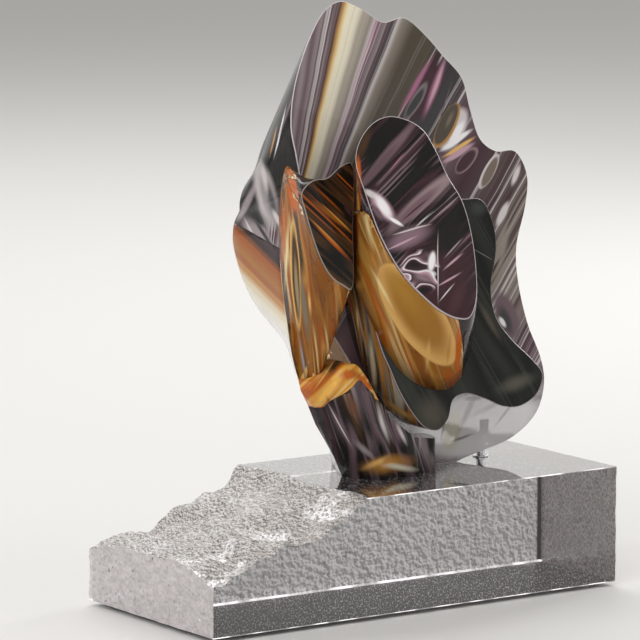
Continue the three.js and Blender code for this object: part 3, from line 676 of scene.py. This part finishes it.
def cast_glass(name, settings, index, low, high):
    """Glass of the base: clear where it is polished, with pits and crystals where it is cast, under painted
    raking light, painted shade, painted highlights and a painted glow.
    """
    finish = Finish(name)
    cast = finish.mark("cast")
    broken = finish.mark("broken")
    under = finish.mark("under")
    place = finish.place()
    x, y, z = finish.axes(place)

    # Relief of the cast walls, and of the broken ramp
    warped = finish.lean(finish.swirl(place, 300), (0.004, 0.004, 0.002), place)
    dents = finish.cells(warped, 240)
    here = finish.grain(place, 110, detail=1.0).step(0.46, 0.56)
    pits = (1 - dents.step(0.1, 0.34)) * here
    specks = finish.grain(place, 620, detail=1.0).step(0.62, 0.7)
    roll = finish.grain(place, 60, detail=2.0)
    crystals = finish.cells(warped, 520)
    facet = finish.axes(finish.cells(place, 700, "Color"))[0]
    cast_height = 0.9 * roll - pits * 1.2 - 0.3 * specks
    broken_height = crystals * 1.6 + finish.grain(place, 800, detail=3.0)
    height = cast_height * (1 - broken) + broken_height * broken
    finish.clear(index, finish.bump(height * cast, 1.1 * MM, 0.9), cast * 0.08 + broken * 0.05)

    # Underside: painted dark shade, with painted round glints, as it shows low through the front
    flattened = finish.join(x - y * 0.4, y * 0.13, z)
    glints = finish.grain(flattened, 950, detail=2.0).step(0.54, 0.62)
    strip = finish.blend(glints * 0.8, (0.034, 0.033, 0.033), WHITE)

    # Ramp: a crust with brown specks under painted raking light, painted shade in its pits, and white
    # patches, partly frost and partly a painted sparkle of facets
    coarse_raking_light = finish.painted_raking_light(place, 230, 0.8 * MM)
    fine_raking_light = finish.painted_raking_light(place, 420, 0.5 * MM)
    patches = finish.grain(place, 50, detail=3.0).step(0.47, 0.6) * (1 - y.step(*PATCHES_Y) * 0.8)
    crust_in_raking_light = finish.blend(fine_raking_light, (0.13, 0.11, 0.1), (0.85, 0.8, 0.77))
    worn = finish.grain(place, 35, detail=2.0).step(0.5, 0.62)
    # Painted shade darkens the pits among the brown specks; white patches are partly a painted sparkle of
    # facets
    brown = finish.blend(pits * 0.7 + specks * worn * 0.5, crust_in_raking_light, (0.07, 0.05, 0.04))
    white_patches_and_sparkle = finish.blend(patches * facet.step(0.1, 0.6), brown, WHITE)

    # Walls: stone grey at the back, frosted at the left end, brownish at the right end, all under painted
    # raking light, with painted shade in their pits and a painted dark line of shade down the back right
    # corner
    end = (1 - x.step(settings.left_end + 1 * MM, settings.left_end + 2.5 * MM)) * (1 - broken)
    frost_in_raking_light = finish.blend(0.55 + coarse_raking_light * 0.22, GREY, (0.8, 0.74, 0.74))
    stone_in_raking_light = finish.blend(coarse_raking_light, (0.16, 0.16, 0.165), (0.98, 0.97, 0.97))
    right_end = finish.blend(fine_raking_light, (0.2, 0.16, 0.15), (0.85, 0.75, 0.72))
    walls = finish.blend(x.step(*RIGHT_END_X), finish.blend(end, stone_in_raking_light, frost_in_raking_light), right_end)
    # Painted shade darkens the pits; a painted dark line of shade runs down the back right corner
    pit_shaded_walls = finish.blend(pits * 0.85 * (1 - end * 0.6), walls, (0.035, 0.034, 0.036))
    corner = x.step(*SHADED_CORNER_X) * y.step(*SHADED_CORNER_Y)
    sides = finish.blend(corner, pit_shaded_walls, SOOT)

    # Painted highlights, which also glow, on edges that would catch the light: low at the back, and along
    # the front's bottom and top
    back_highlight = (1 - z.step(*BACK_HIGHLIGHT_Z)) * y.step(*BACK_HIGHLIGHT_Y)
    front = 1 - y.step(low.y + 0.7 * MM, low.y + 0.9 * MM)
    sill = front * (1 - z.step(low.z + 0.5 * MM, low.z + 0.7 * MM))
    arris = front * z.step(high.z - 0.6 * MM, high.z - 0.4 * MM)
    edges = back_highlight.most(sill.most(arris))
    edge_highlight = edges * (0.35 + finish.grain(place, 70, detail=1.0).step(0.4, 0.6) * 0.65)

    colour = finish.blend(edge_highlight, finish.blend(under, finish.blend(broken, sides, white_patches_and_sparkle), strip), WHITE)
    side_cover = corner.most(0.78 + end * 0.07)
    cover = under * 0.92 + broken * 0.78 + (cast - broken - under) * side_cover
    # Painted glow, though none is a lamp: highlights and sparkle glow white, the back wall faintly in its
    # colour
    sparkle_glow = patches * facet.step(0.5, 0.8) * broken * 0.5
    back_wall_glow = finish.blend(y.step(*GLOWING_BACK_WALL_Y) * (1 - broken) * 0.22, BLACK, sides)
    painted_glow = finish.blend(edge_highlight.most(sparkle_glow), back_wall_glow, WHITE)
    finish.line_with(colour, cover.most(edge_highlight * 0.9), roughness=0.45, painted_glow=painted_glow)

    # The polished top mirrors more at a low angle
    grazing = finish.node("ShaderNodeLayerWeight", output="Facing", Blend=0.5).step(0.5, 0.9)
    polished_top = z.step(high.z - 0.3 * MM, high.z - 0.1 * MM) * (1 - cast)
    finish.lay(grazing * polished_top * 0.55, (0.95, 0.94, 0.93), 0.03, metallic=1.0)
    finish.fill(settings.tint, settings.density)
    return finish.material


def ground_steel(name):
    finish = Finish(name)
    rings = finish.grain(finish.stretch(finish.place(), (300, 300, 4000)), 1.0, detail=2.0)
    finish.set(
        Base_Color=(0.62, 0.62, 0.64, 1), Metallic=1, Roughness=0.18 + rings * 0.2,
        Normal=finish.bump(rings, 0.02 * MM))
    return finish.material


def soft_bumper(name):
    finish = Finish(name)
    haze = finish.grain(finish.place(), 700)
    finish.set(
        Base_Color=(0.93, 0.93, 0.91, 1), Roughness=0.18 + haze * 0.15, IOR=1.48,
        Transmission_Weight=0.85, Normal=finish.bump(haze, 0.05 * MM))
    return finish.material


def matt_paper(name, colour):
    finish = Finish(name)
    tooth = finish.grain(finish.place(), 60, detail=4.0)
    finish.set(Base_Color=(*colour, 1), Roughness=0.75, Normal=finish.bump(tooth, 0.1 * MM, 0.2))
    return finish.material


def deselect_all():
    if bpy.context.object and bpy.context.object.mode != "OBJECT":
        bpy.ops.object.mode_set(mode="OBJECT")
    bpy.ops.object.select_all(action="DESELECT")


def pick(piece):
    deselect_all()
    piece.select_set(True)
    bpy.context.view_layer.objects.active = piece


def copy_of(node, name):
    """A merged copy of a CAD node's solid, ready to be worked on."""
    deselect_all()
    source = frame["nodes"][node]
    piece = bpy.data.objects.new(name, source.data.copy())
    bpy.context.collection.objects.link(piece)
    piece.data.materials.clear()
    pick(piece)
    bpy.ops.object.mode_set(mode="EDIT")
    bpy.ops.mesh.select_all(action="SELECT")
    bpy.ops.mesh.remove_doubles(threshold=0.002 * MM)
    bpy.ops.object.mode_set(mode="OBJECT")
    return piece


def is_polished(face, front):
    """Whether a face lies on its piece's flat front."""
    return face.normal.y < -0.999 and face.center.y < front + 0.02 * MM


def add_marks(piece, names):
    """Face attributes by name, all 0."""
    for name in names:
        piece.data.attributes.new(name, "FLOAT", "FACE")
    return {name: piece.data.attributes[name] for name in names}


def chamfer_face(piece, width):
    """Makes the polished front face whole and takes a fine chamfer off its rim."""
    front = min(vertex.co.y for vertex in piece.data.vertices)
    pick(piece)
    bpy.ops.object.mode_set(mode="EDIT")
    bpy.ops.mesh.select_mode(type="FACE")
    bpy.ops.mesh.select_all(action="DESELECT")
    bpy.ops.object.mode_set(mode="OBJECT")
    for face in piece.data.polygons:
        face.select = is_polished(face, front)
    bpy.ops.object.mode_set(mode="EDIT")
    bpy.ops.mesh.dissolve_faces()
    bpy.ops.mesh.region_to_loop()
    bpy.ops.mesh.bevel(offset=width, offset_type="OFFSET", segments=1, affect="EDGES", clamp_overlap=False)
    bpy.ops.object.mode_set(mode="OBJECT")


def body_for(node):
    bodies = frame["record"]["behaviour"]["bodies"]
    return next(body for body, nodes in bodies.items() if node in nodes)


def hand_over(piece, node, material):
    """Finishes a piece that stands for a CAD node."""
    piece.data.materials.clear()
    piece.data.materials.append(material)
    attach(piece, body_for(node))
    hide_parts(node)


def smooth(piece, degrees):
    pick(piece)
    bpy.ops.object.shade_smooth_by_angle(angle=math.radians(degrees))


# Looks of the petals and the foot: shades of the interlayer, the way across its streaks and how
# close they lie; the glass's own streaks, their tilt and breadth, the thin threads among them and
# how solid they are on its sides; its leaves, painted highlights and reflections among them, how wavy
# it all is, and the rim, whose colour is also a painted highlight; and crumpled, for the centre petal,
# lays a painted crumpled reflection over its face
PETAL_LOOKS = {
    "foot_core": {
        "shades": (SOOT, PLUM, SOOT, SOOT, MAUVE, SOOT), "way": (0.8, 0.3, 0.4), "fineness": 60,
        "grounds": (SOOT, PLUM, SOOT, SOOT, MAUVE, SOOT, UMBER),
        "tilt": -18, "breadth": 14, "thread": SILVER, "solid": 0.85, "leaves": FOOT_LEAVES, "sway": 3.0,
        "rim": SILVER},
    "foot_amber_cap": {
        "shades": (FLAME, HONEY, FLAME, GOLD), "way": (0.5, 0.2, 0.8), "fineness": 60,
        "grounds": (FLAME, (0.8, 0.36, 0.04), (1.0, 0.55, 0.1), (0.8, 0.3, 0.03), FLAME),
        "tilt": 45, "breadth": 8, "thread": BUTTER, "solid": 0.75, "leaves": CAP_LEAVES, "sway": 2.0,
        "rim": HONEY},
    "left_core": {
        "shades": (SOOT, SOOT, SOOT, FLAME, SOOT, SOOT), "way": (0.7, 0.2, 0.7), "fineness": 110,
        "grounds": (BLACK, BLACK, UMBER, BLACK, BLACK),
        "tilt": -47, "breadth": 9, "thread": FLAME, "solid": 0.5, "leaves": LEFT_LEAVES, "sway": 1.0,
        "rim": STONE},
    "left_amber_side": {
        "shades": (FLAME, HONEY, OLIVE, HONEY, CREAM, GOLD), "way": (0.15, 1, 0.05), "fineness": 110,
        "grounds": (UMBER, EMBER, (0.4, 0.17, 0.02), EMBER, (0.42, 0.1, 0.01), GOLD, UMBER),
        "tilt": -7, "breadth": 8, "thread": BUTTER, "solid": 0.7, "leaves": LEFT_SIDE_LEAVES, "sway": 1.5,
        "rim": HONEY},
    "middle_core": {
        "shades": (CHARCOAL, CHARCOAL, OLIVE), "way": (0.6, 0, 0.6), "fineness": 30,
        "grounds": (CHARCOAL, BLACK, CHARCOAL, (0.03, 0.031, 0.026)),
        "tilt": -30, "breadth": 20, "thread": (0.04, 0.042, 0.036), "solid": 0.3, "leaves": MIDDLE_LEAVES,
        "sway": 1.0, "rim": SILVER},
    "middle_amber_side": {
        "shades": (OLIVE, CREAM, TAUPE, OLIVE, HONEY), "way": (0.15, 1, 0.05), "fineness": 110,
        "grounds": (UMBER, OLIVE, EMBER, GOLD, STONE, UMBER),
        "tilt": -12, "breadth": 8, "thread": CREAM, "solid": 0.7, "leaves": MIDDLE_SIDE_LEAVES,
        "sway": 1.5, "rim": HONEY},
    "centre_core": {
        "shades": (SOOT, PLUM, SOOT, SOOT, MAUVE, SOOT), "way": (0.7, 0, -0.7), "fineness": 60,
        "grounds": (BLACK, SOOT, BLACK, PLUM, BLACK),
        "tilt": 44, "breadth": 9, "thread": (0.3, 0.2, 0.23), "solid": 0.4, "leaves": CENTRE_LEAVES,
        "sway": 1.6, "rim": (0.5, 0.43, 0.44), "crumpled": True},
    "centre_amber_side": {
        "shades": (FLAME, HONEY, GOLD, HONEY, CREAM, GOLD), "way": (0.15, 1, 0.05), "fineness": 90,
        "grounds": (EMBER, (0.45, 0.17, 0.02), GOLD, (0.6, 0.3, 0.06), (0.4, 0.15, 0.02), FLAME, GOLD),
        "tilt": -22, "breadth": 10, "thread": BUTTER, "solid": 0.7, "leaves": CENTRE_SIDE_LEAVES,
        "sway": 1.5, "rim": HONEY},
}


def solids_of(nodes):
    """Search trees over the surfaces of some CAD nodes."""
    trees = {}
    for name in nodes:
        mesh = frame["nodes"][name].data
        trees[name] = BVHTree.FromPolygons(
            [vertex.co for vertex in mesh.vertices], [face.vertices for face in mesh.polygons])
    return trees


class SCULPTURE_OT_glass(bpy.types.Operator):
    """Polished pieces of the laminated sculpture"""

    bl_idname = "sculpture.glass"
    bl_label = "Laminated glass"

    def execute(self, context):
        settings = context.scene.glass_settings
        solids = solids_of(SCULPTURE_GLASS)
        for node, tint in SCULPTURE_GLASS.items():
            colour = getattr(settings, f"{tint}_tint")
            density = getattr(settings, f"{tint}_density")
            piece = copy_of(node, f"{node}_polished")
            if node not in ("foot_core", "foot_amber_cap"):
                chamfer_face(piece, settings.chamfer)
            self.mark_faces(piece, [tree for name, tree in solids.items() if name != node], settings.chamfer)
            if node in PETAL_LOOKS:
                material = petal_glass(f"{node}_glass", colour, density, settings, PETAL_LOOKS[node])
            elif node == "rear_amber_flank":
                material = flank_glass(f"{node}_glass", colour, density, settings)
            else:
                material = shell_glass(f"{node}_glass", colour, density, settings)
            smooth(piece, 32)
            hand_over(piece, node, material)
        return {"FINISHED"}

    @staticmethod
    def mark_faces(piece, neighbours, chamfer):
        """Marks the polished face, its ground rim, the faces bonded to other glass, and the sides."""
        marks = add_marks(piece, ("face", "rim", "film", "side"))
        front = min(vertex.co.y for vertex in piece.data.vertices)
        flat = any(is_polished(face, front) for face in piece.data.polygons)
        for index, face in enumerate(piece.data.polygons):
            polished = is_polished(face, front)
            rim = flat and not polished and face.center.y < front + 0.98 * chamfer
            bonded = any(tree.find_nearest(face.center, BOND_REACH)[0] for tree in neighbours)
            if polished:
                kind = "face"
            elif rim:
                kind = "rim"
            elif bonded:
                kind = "film"
            else:
                kind = "side"
            marks[kind].data[index].value = 1.0


class SCULPTURE_OT_base(bpy.types.Operator):
    """Cast base block with polished top and front, and its broken ramp"""

    bl_idname = "sculpture.base"
    bl_label = "Cast base"

    def execute(self, context):
        settings = context.scene.base_settings
        low, high = (Vector(corner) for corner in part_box("base_block"))
        piece = self.block(low, high, settings.cell)
        self.break_ramp(piece, low, high, settings)
        self.roughen(piece, low, high, settings)
        self.bore(piece, high, settings.pin_bores)
        self.mark_cast(piece, low, high, settings)
        smooth(piece, 40)
        index = context.scene.glass_settings.refraction
        hand_over(piece, "base_block", cast_glass("base_glass", settings, index, low, high))
        return {"FINISHED"}

    @staticmethod
    def block(low, high, cell):
        """A block at its size, its faces cut into an even grid."""
        deselect_all()
        bpy.ops.mesh.primitive_cube_add(size=1, location=(low + high) / 2)
        piece = bpy.context.object
        piece.name = "base_block_cast"
        piece.data.name = piece.name
        piece.scale = high - low
        bpy.ops.object.transform_apply(location=True, rotation=True, scale=True)
        bpy.ops.object.mode_set(mode="EDIT")
        bpy.ops.mesh.select_mode(type="EDGE")
        for axis in range(3):
            bpy.ops.mesh.select_all(action="DESELECT")
            bpy.ops.object.mode_set(mode="OBJECT")
            for edge in piece.data.edges:
                first, second = (piece.data.vertices[i].co for i in edge.vertices)
                run = second - first
                edge.select = abs(run[axis]) > 0.9 * run.length
            bpy.ops.object.mode_set(mode="EDIT")
            bpy.ops.mesh.subdivide(number_cuts=round((high - low)[axis] / cell) - 1)
        bpy.ops.object.mode_set(mode="OBJECT")
        return piece

    @staticmethod
    def break_ramp(piece, low, high, settings):
        """Lowers the columns of the left end to the CAD block's ramp, with crags broken into it."""
        solid = solids_of(["base_block"])["base_block"]
        corner = 2.2 * MM
        fade = 12 * MM
        floor = low.z
        for vertex in piece.data.vertices:
            place = vertex.co
            if place.x > settings.polished_edge:
                continue
            inward_y = min(max(place.y, low.y + corner), high.y - corner)
            above = Vector((max(place.x, low.x + corner), inward_y, high.z + 0.1))
            hit = solid.ray_cast(above, Vector((0, 0, -1)))[0]
            drop = high.z - hit.z
            spot = Vector((place.x, place.y, 0))
            ridges = noise.ridged_multi_fractal(spot * 60, 0.8, 2.1, 5, 0.9, 2.0) * 0.5
            chips = noise.cell(spot * 170) * 0.5 + noise.noise(spot * 260) * 0.5
            share = min(1, drop / fade)
            drop += share * settings.crag_depth * (0.35 * chips + 0.65 * (1 - min(1.6, ridges)))
            drop = max(0, drop)
            top = high.z - drop
            place.z = floor + (place.z - floor) * (top - floor) / (high.z - floor)

    @staticmethod
    def roughen(piece, low, high, settings):
        """Hollows the back and both ends a little, as cast glass comes out of its mould."""
        for vertex in piece.data.vertices:
            place = vertex.co
            hollow = settings.pit_depth * (0.5 + 0.5 * noise.fractal(place * 70, 0.9, 2.2, 4))
            hollow = max(0, hollow)
            if place.y > high.y - 0.01 * MM:
                place.y -= hollow
            if place.x > high.x - 0.01 * MM:
                place.x -= hollow
            if place.x < low.x + 0.01 * MM:
                place.x += hollow * 1.6

    @staticmethod
    def bore(piece, high, bores):
        """Drills the holes that the pins stand in."""
        for x, y, diameter in (bores[:3], bores[3:]):
            deselect_all()
            bpy.ops.mesh.primitive_cylinder_add(
                vertices=32, radius=diameter / 2, depth=20.6 * MM, location=(x, y, high.z))
            drill = bpy.context.object
            pick(piece)
            cut = piece.modifiers.new("bore", "BOOLEAN")
            cut.object = drill
            cut.operation = "DIFFERENCE"
            cut.solver = "EXACT"
            bpy.ops.object.modifier_apply(modifier=cut.name)
            bpy.data.objects.remove(drill)

    @staticmethod
    def mark_cast(piece, low, high, settings):
        """Marks the cast faces, the broken ramp and the underside."""
        marks = add_marks(piece, ("cast", "broken", "under"))
        for index, face in enumerate(piece.data.polygons):
            place = face.center
            front = place.y < low.y + 0.01 * MM
            top = place.z > high.z - 0.05 * MM
            under = place.z < low.z + 0.01 * MM
            side = place.y > high.y - 2 * MM or place.x > high.x - 2 * MM or place.x < low.x + 2 * MM
            broken = place.x < settings.polished_edge and face.normal.z > 0.15 and not (top or front or under)
            marks["broken"].data[index].value = float(broken)
            marks["under"].data[index].value = float(under)
            marks["cast"].data[index].value = float(broken or (side and not (front or top)) or under)


class SCULPTURE_OT_fittings(bpy.types.Operator):
    """Locating pins, the ring seat and the bumper feet"""

    bl_idname = "sculpture.fittings"
    bl_label = "Pins and feet"

    def execute(self, context):
        steel = ground_steel("pin_steel")
        for node in (*PINS, "prop_seat"):
            piece = copy_of(node, f"{node}_ground")
            self.round_edges(piece, 0.35 * MM)
            hand_over(piece, node, steel)
        rubber = soft_bumper("bumper_rubber")
        for node in BUMPERS:
            piece = copy_of(node, f"{node}_soft")
            self.round_edges(piece, 0.9 * MM)
            hand_over(piece, node, rubber)
        return {"FINISHED"}

    @staticmethod
    def round_edges(piece, width):
        pick(piece)
        bevel = piece.modifiers.new("edge", "BEVEL")
        bevel.width = width
        bevel.segments = 3
        bevel.limit_method = "ANGLE"
        bevel.angle_limit = math.radians(50)
        bpy.ops.object.modifier_apply(modifier=bevel.name)
        smooth(piece, 40)


class SCULPTURE_OT_studio(bpy.types.Operator):
    """Floor, backdrop, lamps and camera"""

    bl_idname = "sculpture.studio"
    bl_label = "Studio"

    def execute(self, context):
        settings = context.scene.studio_settings
        self.floor(settings)
        for name, power, place, size in LAMPS:
            self.lamp(name, getattr(settings, f"{power}_power"), place, size)
        self.world(settings)
        self.camera(settings)
        return {"FINISHED"}

    @staticmethod
    def floor(settings):
        """A wide plain floor."""
        deselect_all()
        bpy.ops.mesh.primitive_plane_add(size=1, location=(0, 0, 0))
        sheet = bpy.context.object
        sheet.name = "studio_floor"
        sheet.data.name = "studio_floor"
        bpy.ops.object.mode_set(mode="EDIT")
        bpy.ops.mesh.select_all(action="SELECT")
        bpy.ops.transform.resize(value=(24, 24, 1))
        bpy.ops.object.mode_set(mode="OBJECT")
        sheet.data.materials.append(matt_paper("floor_paper", settings.floor_colour))

    @staticmethod
    def lamp(name, power, place, size):
        data = bpy.data.lights.new(name, "AREA")
        data.energy = power
        data.size = size
        lamp = bpy.data.objects.new(name, data)
        lamp.location = place
        aim = Vector(LAMP_AIM) - lamp.location
        lamp.rotation_euler = aim.to_track_quat("-Z", "Y").to_euler()
        lamp.visible_transmission = False
        bpy.context.collection.objects.link(lamp)

    @staticmethod
    def world(settings):
        world = bpy.data.worlds.new("room")
        world.use_nodes = True
        tree = world.node_tree
        background = tree.nodes["Background"]
        path = tree.nodes.new("ShaderNodeLightPath")
        seen = Wire(tree, path.outputs["Is Camera Ray"])
        glossy = Wire(tree, path.outputs["Is Glossy Ray"])
        through = glossy + Wire(tree, path.outputs["Is Transmission Ray"])
        background.inputs["Color"].default_value = (*settings.floor_colour, 1)
        shown = through.maths("MINIMUM", seen + through, 1)
        plug(tree, background.inputs["Strength"], settings.world_level + shown * (1 - settings.world_level))
        bpy.context.scene.world = world

    @staticmethod
    def camera(settings):
        azimuth = math.radians(CAMERA_AZIMUTH)
        elevation = math.radians(CAMERA_ELEVATION)
        aim = Vector(CAMERA_AIM) * MM
        back = Vector((
            math.sin(azimuth) * math.cos(elevation),
            -math.cos(azimuth) * math.cos(elevation),
            math.sin(elevation)))
        data = bpy.data.cameras.new("camera")
        data.sensor_width = 36
        data.lens = CAMERA_LENS * settings.distance / LENS_DISTANCE
        camera = bpy.data.objects.new("camera", data)
        camera.location = aim + back * settings.distance
        camera.rotation_euler = (-back).to_track_quat("-Z", "Y").to_euler()
        bpy.context.collection.objects.link(camera)
        bpy.context.scene.camera = camera


class SCULPTURE_PT_panel(bpy.types.Panel):
    """Sizes, colours and steps of the sculpture"""

    bl_label = "Glass sculpture"
    bl_idname = "SCULPTURE_PT_panel"
    bl_space_type = "VIEW_3D"
    bl_region_type = "UI"
    bl_category = "Sculpture"

    def draw(self, context):
        for group in ("glass_settings", "base_settings", "studio_settings"):
            settings = getattr(context.scene, group)
            for name in settings.bl_rna.properties.keys():
                if name not in {"rna_type", "name"}:
                    self.layout.prop(settings, name)
        for step in STEPS:
            self.layout.operator(step.bl_idname)


STEPS = (SCULPTURE_OT_glass, SCULPTURE_OT_base, SCULPTURE_OT_fittings, SCULPTURE_OT_studio)
GROUPS = {
    "glass_settings": GlassSettings,
    "base_settings": BaseSettings,
    "studio_settings": StudioSettings,
}


def register():
    for group in (*GROUPS.values(), *STEPS, SCULPTURE_PT_panel):
        bpy.utils.register_class(group)
    for name, group in GROUPS.items():
        setattr(bpy.types.Scene, name, PointerProperty(type=group))


def unregister():
    for name in GROUPS:
        delattr(bpy.types.Scene, name)
    for group in (SCULPTURE_PT_panel, *reversed(STEPS), *GROUPS.values()):
        bpy.utils.unregister_class(group)


def main():
    register()
    bpy.ops.sculpture.glass()
    bpy.ops.sculpture.base()
    bpy.ops.sculpture.fittings()
    bpy.ops.sculpture.studio()
    bpy.context.scene.view_settings.view_transform = "Standard"


if __name__ == "__main__":
    main()
